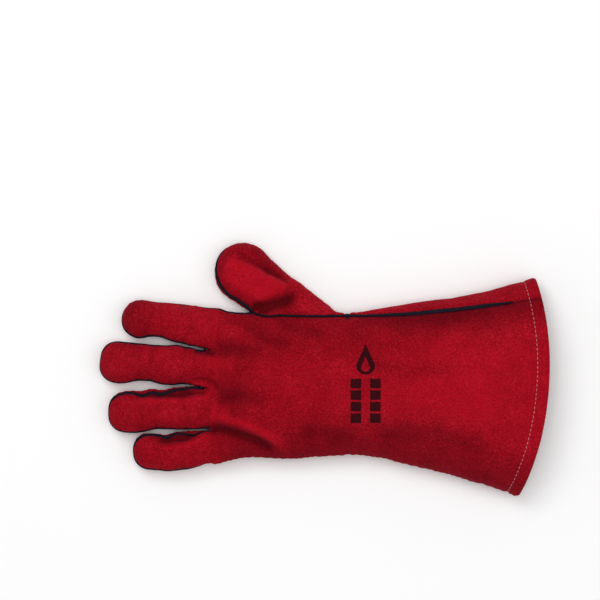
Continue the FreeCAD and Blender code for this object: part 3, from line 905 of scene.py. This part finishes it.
class Finish:
    """A material being made. Its patterns go by where a point lies at rest, so they stay put in a bend."""

    def __init__(self, name, roughness, **inputs):
        self.material = bpy.data.materials.new(name)
        self.material.use_nodes = True
        self.tree = self.material.node_tree
        self.shader = self.tree.nodes["Principled BSDF"]
        self.set_inputs(self.shader, {"Roughness": roughness, **inputs})

    def set_inputs(self, node, inputs):
        """Set input sockets to plain numbers or colours, or join them to values."""
        for name, value in inputs.items():
            if isinstance(value, Value):
                self.tree.links.new(value.socket, node.inputs[name])
            else:
                node.inputs[name].default_value = (*value, 1) if isinstance(value, tuple) else value

    def node(self, kind, output, inputs, **settings):
        """A new node's output."""
        made = self.tree.nodes.new(f"ShaderNode{kind}")
        for name, value in settings.items():
            setattr(made, name, value)
        self.set_inputs(made, inputs)
        return Value(self, made.outputs[output])

    def place(self):
        return self.node("Attribute", "Vector", {}, attribute_name="rest")

    def noise(self, scale, detail, roughness):
        inputs = {"Vector": self.place(), "Scale": scale, "Detail": detail, "Roughness": roughness}
        return self.node("TexNoise", "Fac", inputs)

    def wave(self, scale, distortion):
        inputs = {"Vector": self.place(), "Scale": scale, "Distortion": distortion}
        return self.node("TexWave", "Fac", inputs, bands_direction="DIAGONAL")

    def ramp(self, value, stops):
        colour = self.node("ValToRGB", "Color", {"Fac": value})
        elements = colour.socket.node.color_ramp.elements
        while len(elements) < len(stops):
            elements.new(0.5)
        for element, (position, shade) in zip(elements, stops):
            element.position = position
            element.color = (*shade, 1)
        return colour

    def blend(self, share, low, high):
        inputs = {"Factor": share, "A": low, "B": high}
        return self.node("Mix", "Result", inputs, data_type="RGBA", blend_type="MIX")

    def cover(self, colour, height, distance, strength):
        """Give the surface its colour and the relief of its pattern."""
        inputs = {"Height": height, "Distance": distance, "Strength": strength}
        self.set_inputs(self.shader, {"Base Color": colour, "Normal": self.node("Bump", "Normal", inputs)})
        return self.material


def suede(name, sign=None):
    """Red split leather: a speckled nap and brushed patches, with painted shade in folds and hollows and
    paler painted highlights on ridges and crowns.
    """
    finish = Finish(name, 0.92)
    speckle = finish.noise(1150, 3, 0.75)
    nap = finish.noise(560, 4, 0.65)
    patches = finish.noise(75, 4, 0.55)
    clouds = finish.noise(17, 3, 0.5)
    tone = speckle * 0.52 + nap * 0.26 + patches * 0.11 + clouds * 0.11
    colour = finish.ramp(tone, RED_SHADES)
    # painted shade in hollows and painted highlight on crests, following the depth value
    depth = finish.node("Attribute", "Fac", {}, attribute_name="depth")
    colour = finish.blend(depth.math("MULTIPLY", 0.75, clamp=True), colour, RED_PAINTED_SHADE)
    colour = finish.blend(depth.math("MULTIPLY", -0.55, clamp=True), colour, RED_PAINTED_HIGHLIGHT)
    if sign:
        colour = finish.blend(sign(finish, speckle), colour, INK)
    sheen = {"Sheen Weight": 0.20, "Sheen Roughness": 0.4, "Sheen Tint": (1.0, 0.07, 0.16)}
    finish.set_inputs(finish.shader, {"Specular IOR Level": 0.06, **sheen})
    return finish.cover(colour, speckle * 0.6 + nap, 0.0007, 0.9)


def flame_and_bars(finish, wear):
    """A plain printed sign for heat: a drop-shaped flame over two equal bars, worn by the nap."""
    split = finish.node("SeparateXYZ", "X", {"Vector": finish.place()}).socket.node
    x, y, z = (Value(finish, socket) for socket in split.outputs)

    def drop(cx, cy, radius, length):
        """A circle drawn out to a point on the +Y side."""
        dx, dy = x - cx * MM, y - cy * MM
        narrowing = (dy / (length * MM) * -1.0 + 1.0).most(0.05)
        wide = dx / ((dy > 0.0) * (narrowing - 1.0) + 1.0)
        low = dy.least(0.0)
        span = (wide.math("POWER", 2.0) + low.math("POWER", 2.0)).math("SQRT")
        return (span - radius * MM).most(dy - length * MM)

    def block(cx, cy, half_x, half_y):
        beside, along = (x - cx * MM).math("ABSOLUTE"), (y - cy * MM).math("ABSOLUTE")
        return (beside - half_x * MM).most(along - half_y * MM)

    centre_x = WRIST[0] + 14.2
    flame = drop(centre_x, 3.2, 7.4, 16.5)
    hollow = drop(centre_x, 1.6, 3.4, 8.5)
    shape = flame.most(hollow * -1.0)
    bar_y, half_length, half_width, blocks, gap = -24.5, 18.0, 4.2, 4, 1.4
    for bar_x in (centre_x - 7.6, centre_x + 7.6):
        for number in range(blocks):
            block_y = bar_y + half_length * (2 * (number + 0.5) / blocks - 1)
            shape = shape.least(block(bar_x, block_y, half_width, half_length / blocks - gap / 2))
    raggedness, cover = 0.0016, 0.94
    ink = (shape + (wear - 0.5) * raggedness).math("LESS_THAN", 0.0)
    return ink * (z > SEAM_Z_HAND * MM) * cover


def plain_finish(name, roughness, pattern, stops, distance, strength, **inputs):
    """A finish whose one pattern gives both its colour and its relief."""
    finish = Finish(name, roughness, **inputs)
    height = pattern(finish)
    return finish.cover(finish.ramp(height, stops), height, distance, strength)


def build_finishes():
    """Red suede, plain and printed, near-black piping, matted fleece, undyed twill and pale pink thread."""
    return {
        "red": suede("red_suede"),
        "printed": suede("red_suede_printed", flame_and_bars),
        "welt": plain_finish(
            "dark_welt_leather", 0.55, lambda finish: finish.noise(900, 4, 0.6),
            [(0.3, (0.0030, 0.0026, 0.0055)), (0.7, (0.0130, 0.0105, 0.0210))], 0.0004, 0.7,
            **{"Specular IOR Level": 0.05},
        ),
        "fleece": plain_finish(
            "fleece_lining", 0.95, lambda finish: finish.noise(320, 5, 0.7),
            [(0.3, (0.42, 0.38, 0.31)), (0.7, (0.74, 0.70, 0.61))], 0.0012, 0.9, **{"Sheen Weight": 0.4},
        ),
        "cotton": plain_finish(
            "cotton_twill", 0.9, lambda finish: finish.wave(330, 0.6) + finish.noise(1400, 3, 0.6),
            [(0.4, (0.30, 0.28, 0.25)), (1.0, (0.58, 0.55, 0.50))], 0.0003, 0.8,
        ),
        "thread": plain_finish(
            "pale_thread", 0.6, lambda finish: finish.wave(900, 0.0),
            [(0.2, (0.42, 0.13, 0.15)), (0.8, (0.70, 0.32, 0.35))], 0.0002, 0.6, **{"Sheen Weight": 0.2},
        ),
    }


def paint(piece, finish):
    piece.data.materials.clear()
    piece.data.materials.append(finish)


# ---------------- tying pieces to the hand's body


def tie(piece, zone):
    """Attach a piece of the hand's zone to the hand's body; a piece of any other zone only has its transform
    baked.
    """
    name, _, part = zone.rpartition("_")
    if zone == "hand":
        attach(piece, "hand")
    elif zone == "wrist":
        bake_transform(piece)
    else:
        base = part == "base"
        low, high = base_bend_span(name) if base else tip_bend_span(name)
        SHAPES[name].place(low)
        SHAPES[name].place(high)
        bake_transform(piece)


# ---------------- making the glove

# Leather pieces: zone and panel, the piece's name and the CAD nodes that it stands for.
LEATHER_PIECES = {
    ("wrist", "back"): ("cuff_back_panel", ["cuff_back"]),
    ("wrist", "front"): ("cuff_front_panel", ["cuff_front"]),
    ("wrist", "thumb_back"): ("gusset_heel", []),
    ("hand", "back"): ("hand_back_panel", ["hand_back"]),
    ("hand", "front"): ("palm_panel", ["palm"]),
    ("hand", "thumb_back"): ("gusset_panel", ["thumb_gusset"]),
}
for digit_name in DIGITS:
    for span in ("base", "tip"):
        back_panel = "thumb_back" if digit_name == "thumb" else "back"
        back_node, front_node = (f"{digit_name}_{span}_{side}" for side in ("back", "front"))
        LEATHER_PIECES[(f"{digit_name}_{span}", back_panel)] = (f"{back_node}_leather", [back_node])
        LEATHER_PIECES[(f"{digit_name}_{span}", "front")] = (f"{front_node}_leather", [front_node])


def merged_panels(zones, panels):
    """Only the panels that a zone really has: a few stray triangles go to the panel next to them."""
    panels = panels.copy()
    thumb_zone = np.char.startswith(zones, "thumb")
    panels[thumb_zone & (panels == "back")] = "thumb_back"
    finger_zone = ~thumb_zone & (np.char.endswith(zones, "_base") | np.char.endswith(zones, "_tip"))
    panels[finger_zone & (panels == "thumb_back")] = "front"
    return panels


def add_layer(name, skin, zone, chosen, depths, finish, nodes=(), painted_light_share=None):
    """A shell over the chosen triangles, painted, tied to its zone and standing for CAD nodes."""
    piece = shell_object(name, skin, chosen, *depths, painted_light_share)
    paint(piece, finish)
    tie(piece, zone)
    if nodes:
        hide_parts(*nodes)
    return piece


def build_leather(skin, finishes):
    for (zone, panel), (name, nodes) in LEATHER_PIECES.items():
        chosen = (skin["zones"] == zone) & (skin["panels"] == panel)
        finish = finishes["printed" if name == "cuff_back_panel" else "red"]
        add_layer(name, skin, zone, chosen, (0.0, LEATHER), finish, nodes, painted_light_share=1.0)


def build_linings(skin, finishes):
    """Inner layers: fleece in hand and digits, cotton in the cuff, and the hem's turned-in edge."""
    inside = mouth_distance(skin["centres"])
    for zone in sorted(set(skin["zones"])):
        chosen = skin["zones"] == zone
        nodes = ()
        if zone == "wrist":
            cuff = chosen & (skin["centres"][:, 0] > WRIST[0])
            chosen = chosen & ~cuff
            clear, turned = cuff & (inside > HEM_DEPTH - 1.0), cuff & (inside < HEM_DEPTH + 1.5)
            add_layer("cuff_lining_cloth", skin, zone, clear, (LINING_OUT, TWILL_IN), finishes["cotton"],
                      ["cuff_lining"])
            add_layer("hem_turned_edge", skin, zone, turned, (LEATHER, HEM_IN), finishes["red"],
                      ["hem_fold"], painted_light_share=0.3)
        elif zone == "hand" or zone.endswith("_base"):
            nodes = [zone.removesuffix("_base") + "_lining"]
        fleece = add_layer(f"{zone}_fleece", skin, zone, chosen, (LINING_OUT, LINING_IN), finishes["fleece"],
                           nodes)


def side_welt_width(points):
    """The side welt swells up the cuff's thumb side and is drawn to a fine end."""
    x, y, _ = points.T
    stout = smoothstep(x, WRIST[0] + 2, WRIST[0] + 60) * (y > 0)
    drawn_out = smoothstep(x, WELT_END_X - 24, WELT_END_X + 1) * (y > 0)
    width = 0.92 + 0.85 * stout - 1.2 * drawn_out - 0.38 * band(x, -108, -98, -86, -78)
    # on the ring and little fingers the welt is widened towards the finger above: partly dark piping, partly
    # painted shadow in the gap
    for name in ("ring", "little"):
        u, v = SHAPES[name].local(x, y)
        width += 0.6 * smoothstep(u, 6, 16) * band(v, 5, 10, 17, 19)
    return width


def thumb_welt_width(points):
    """The thumb's welt is stoutest on the side towards the fingers, near its root: the widened dark bead is
    partly piping and partly painted shadow beside it.
    """
    u, v = SHAPES["thumb"].local(*points[:, :2].T)
    return 0.9 + 1.0 * (1 - smoothstep(u, -5, 26)) * (1 - smoothstep(v, -8, 2))


# Each welt: its pieces' name, half width, half height, how proud of the skin it stands, and the CAD nodes it
# stands for.
WELTS = {
    "side": (
        "side_seam_welt_a", side_welt_width, 1.5, 0.55,
        [f"{name}_welt" for name in FINGERS]
        + ["hand_side_welt", "thumb_seam_welt", "cuff_thumb_welt", "cuff_side_welt"],
    ),
    "thumb": ("thumb_seam_piping_a", thumb_welt_width, 1.5, 0.55, ["thumb_welt"]),
    "wrist": ("wrist_piping_a", lambda points: 1.6, 1.2, 0.1, ["wrist_welt"]),
    "base": ("palm_piping_a", lambda points: 1.3, 1.1, 0.1, ["finger_base_welt"]),
}


def lay_welt(seam, path, skin, finish):
    """A welt along its seam, divided where the seam passes from one bending zone to the next."""
    name, width_at, half_height, proud, nodes = WELTS[seam]
    points, vertex = path
    points = points + (skin["points"][vertex] - skin["base_points"][vertex])
    points, nearest = resample(points, 1.2, vertex, smoothing=16)
    base_points = skin["base_points"][nearest]
    outward = unit(smoothed(skin["normals"][nearest], 4))
    raised = 1 - low_side(base_points)
    points = points + outward * (proud * raised)[:, None]
    points[:, 2] = np.maximum(points[:, 2], half_height)
    widths = width_at(base_points) * np.ones(len(points))
    heights = half_height * np.minimum(1, widths / 0.9) * (0.4 + 0.6 * raised)
    pieces = divide_welt(name, (points, outward, widths, heights), zone_names(base_points), finish)
    for node in nodes:
        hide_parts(node)


def divide_welt(name, tube, zones, finish):
    """A tube for each stretch of a welt that lies in one zone. A stretch of a point or two is left out."""
    pieces = []
    first = 0
    for place in range(1, len(zones) + 1):
        if place < len(zones) and zones[place] == zones[first]:
            continue
        last = min(place + 1, len(zones))
        if last - first >= 3:
            piece = tube_object(f"{name}_{len(pieces) + 1}", *(values[first:last] for values in tube))
            paint(piece, finish)
            tie(piece, zones[first])
            pieces.append((piece, zones[first]))
        first = place
    return pieces


def build_stitches(skin, finishes):
    """The hem's row of pale stitches: short threads sunk at both ends, all round the cuff."""
    values = mouth_distance(skin["points"]) - HEM_DEPTH
    row, vertex = isolines(skin["points"], skin["triangles"], values, np.ones(len(values), bool))[0]
    points, nearest = resample(row, STITCH_STEP, vertex)
    outward = skin["normals"][nearest]
    pitch = int(STITCH_PITCH / STITCH_STEP)
    drawn = int((STITCH_PITCH - STITCH_GAP) / STITCH_STEP) + 1
    sides = 6
    vertices, faces = [], []
    for first in range(0, len(points) - pitch, pitch):
        normal = outward[first : first + drawn]
        swell = np.sin(np.linspace(0, 1, drawn) * math.pi)
        centre = points[first : first + drawn] + normal * (0.42 * swell**0.6 - 0.12)[:, None]
        across = np.cross(unit(np.gradient(centre, axis=0)), normal)
        radius = STITCH_RADIUS * (0.55 + 0.45 * swell)
        start = len(vertices)
        vertices += tube_rings(centre, across, normal, radius, radius, sides).tolist()
        faces += tube_faces(drawn, sides, start)
        faces.append(tuple(range(start, start + sides)))
        faces.append(tuple(reversed(range(len(vertices) - sides, len(vertices)))))
    piece = new_object("hem_stitches", np.array(vertices), faces)
    paint(piece, finishes["thread"])
    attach(piece, "cuff")
    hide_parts("hem_thread")


def find_seams(vertices, triangles):
    """The path of each welted seam, and those of the seams without a welt."""
    back = back_value(vertices)
    x, y, z = vertices.T
    base_low, base_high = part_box("finger_base_welt")
    base_row = (y > base_low[1] / MM) & (y < base_high[1] / MM)
    fields = {
        "side": (back, (x <= WELT_END_X) | (y <= 0)),
        "thumb": (thumb_value(vertices), on_thumb(vertices) & (x < 4) & (back < 0)),
        "wrist": (x - WRIST[0], (back < 2.0) & (np.abs(x - WRIST[0]) < 6)),
        "base": (x - FINGER_BASE_SEAM_X, (z < SEAM_Z_FINGER) & base_row),
    }
    welted = {seam: isolines(vertices, triangles, *field)[0] for seam, field in fields.items()}
    plain = isolines(vertices, triangles, back, x > WELT_END_X - 6)
    return welted, [path for path in plain if len(path[0]) > 8]


def build_glove():
    vertices, triangles = sculpt_base()
    welted, plain = find_seams(vertices, triangles)
    seams = [resample(points, 1.0, vertex)[0] for points, vertex in [*welted.values(), *plain]]
    shaped, depth = shape_leather(vertices, triangles, seams)
    normals = vertex_normals(shaped, triangles)
    centres = vertices[triangles].mean(axis=1)
    zones = zone_names(centres)
    skin = {
        "base_points": vertices,
        "points": shaped,
        "triangles": triangles,
        "normals": normals,
        "share": thickness_share(shaped, normals),
        # depth: the painted shade and painted highlight of each point
        "depth": depth,
        "centres": centres,
        "zones": zones,
        "panels": merged_panels(zones, panel_names(centres)),
    }
    finishes = build_finishes()
    build_leather(skin, finishes)
    build_linings(skin, finishes)
    for seam, path in welted.items():
        lay_welt(seam, path, skin, finishes["welt"])
    build_stitches(skin, finishes)


def build_stage():
    """A plain pale floor and soft light from above."""
    mesh = bpy.data.meshes.new("floor")
    mesh.from_pydata([(-6, -6, 0), (6, -6, 0), (6, 6, 0), (-6, 6, 0)], [], [(0, 1, 2, 3)])
    floor = add_to_scene("floor", mesh)
    paper = Finish("pale_floor", 0.9, **{"Base Color": (0.96, 0.96, 0.96), "Specular IOR Level": 0.1})
    mesh.materials.append(paper.material)
    floor.location.z = -0.0004
    floor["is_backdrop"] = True
    lights = (
        ("key_light", (-0.6, 0.9, 2.0), 1.1, 17.0),
        ("fill_light", (0.9, -0.2, 1.9), 1.2, 5.0),
        ("top_light", (0.0, 0.0, 2.4), 1.0, 16.0),
    )
    for name, place, size, power in lights:
        lamp = bpy.data.lights.new(name, "AREA")
        lamp.size = size
        lamp.energy = power
        holder = add_to_scene(name, lamp)
        holder.location = place
        holder.rotation_euler = (-Vector(place)).to_track_quat("-Z", "Y").to_euler()
    bpy.context.scene.view_settings.view_transform = "Standard"
    world = bpy.data.worlds.new("studio")
    bpy.context.scene.world = world
    world.use_nodes = True
    background = world.node_tree.nodes["Background"]
    background.inputs["Color"].default_value = (1, 1, 1, 1)
    background.inputs["Strength"].default_value = 0.42


def build_camera():
    """Straight above the glove, which lies below and to the right of the picture's middle."""
    low, high = (Vector(corner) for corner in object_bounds())
    seen_width, glove_middle, height = 0.4688, 0.02, 2.6
    aim = Vector(((low.x + high.x) / 2 - 0.0183, (low.y + high.y) / 2 + 0.0541, 0))
    camera = bpy.data.cameras.new("camera")
    camera.lens = camera.sensor_width * (height - glove_middle) / seen_width
    holder = add_to_scene("camera", camera)
    holder.location = aim + Vector((0, 0, height))
    bpy.context.scene.camera = holder


build_camera()
build_glove()
build_stage()
